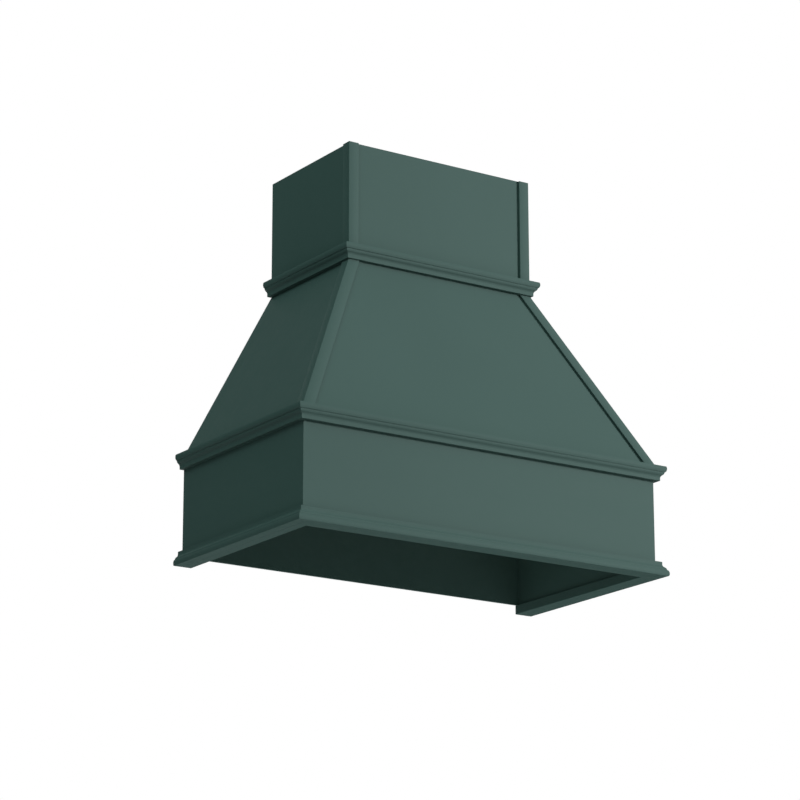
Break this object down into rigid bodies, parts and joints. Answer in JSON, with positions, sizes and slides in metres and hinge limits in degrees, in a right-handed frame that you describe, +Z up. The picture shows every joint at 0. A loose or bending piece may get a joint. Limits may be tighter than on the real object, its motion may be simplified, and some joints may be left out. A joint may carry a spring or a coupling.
{
  "type": "wall range hood cover",
  "caption": "Painted wooden wall range hood cover: plain apron, canopy tapering on three sides, square stack, mitred mouldings and corner trims; open below, above and at the back.",
  "frame": {"origin": "centre of the four wall screw holes, on the plane of the wall", "axes": "+X to the right as seen from the front, +Y into the wall, +Z up"},
  "size_m": [0.9592, 0.5154, 0.925],
  "materials": {
    "painted_wood": "satin sage green paint",
    "bare_wood": "unfinished softwood",
    "steel": "zinc plated"
  },
  "bodies": {
    "root": {"base_rail_front": "painted_wood", "base_rail_left": "painted_wood", "base_rail_right": "painted_wood", "base_moulding_front": "painted_wood", "base_moulding_left": "painted_wood", "base_moulding_right": "painted_wood", "apron_front": "painted_wood", "apron_left": "painted_wood", "apron_right": "painted_wood", "apron_back": "painted_wood", "shoulder_frame_front": "bare_wood", "shoulder_frame_left": "bare_wood", "shoulder_frame_right": "bare_wood", "lower_hanging_rail": "bare_wood", "shoulder_moulding_front": "painted_wood", "shoulder_moulding_left": "painted_wood", "shoulder_moulding_right": "painted_wood", "canopy_front": "painted_wood", "canopy_left": "painted_wood", "canopy_right": "painted_wood", "canopy_glue_block_left": "bare_wood", "canopy_glue_block_right": "bare_wood", "canopy_corner_trim_left": "painted_wood", "canopy_corner_trim_right": "painted_wood", "neck_frame_front": "bare_wood", "neck_frame_left": "bare_wood", "neck_frame_right": "bare_wood", "neck_frame_back": "bare_wood", "neck_moulding_front": "painted_wood", "neck_moulding_left": "painted_wood", "neck_moulding_right": "painted_wood", "stack_front": "painted_wood", "stack_left": "painted_wood", "stack_right": "painted_wood", "stack_post_left": "bare_wood", "stack_post_right": "bare_wood", "stack_corner_trim_left": "painted_wood", "stack_corner_trim_right": "painted_wood", "upper_hanging_rail": "bare_wood", "shoulder_frame_screws": "steel", "neck_frame_screws": "steel", "hanging_rail_screws": "steel"}
  },
  "joints": []
}
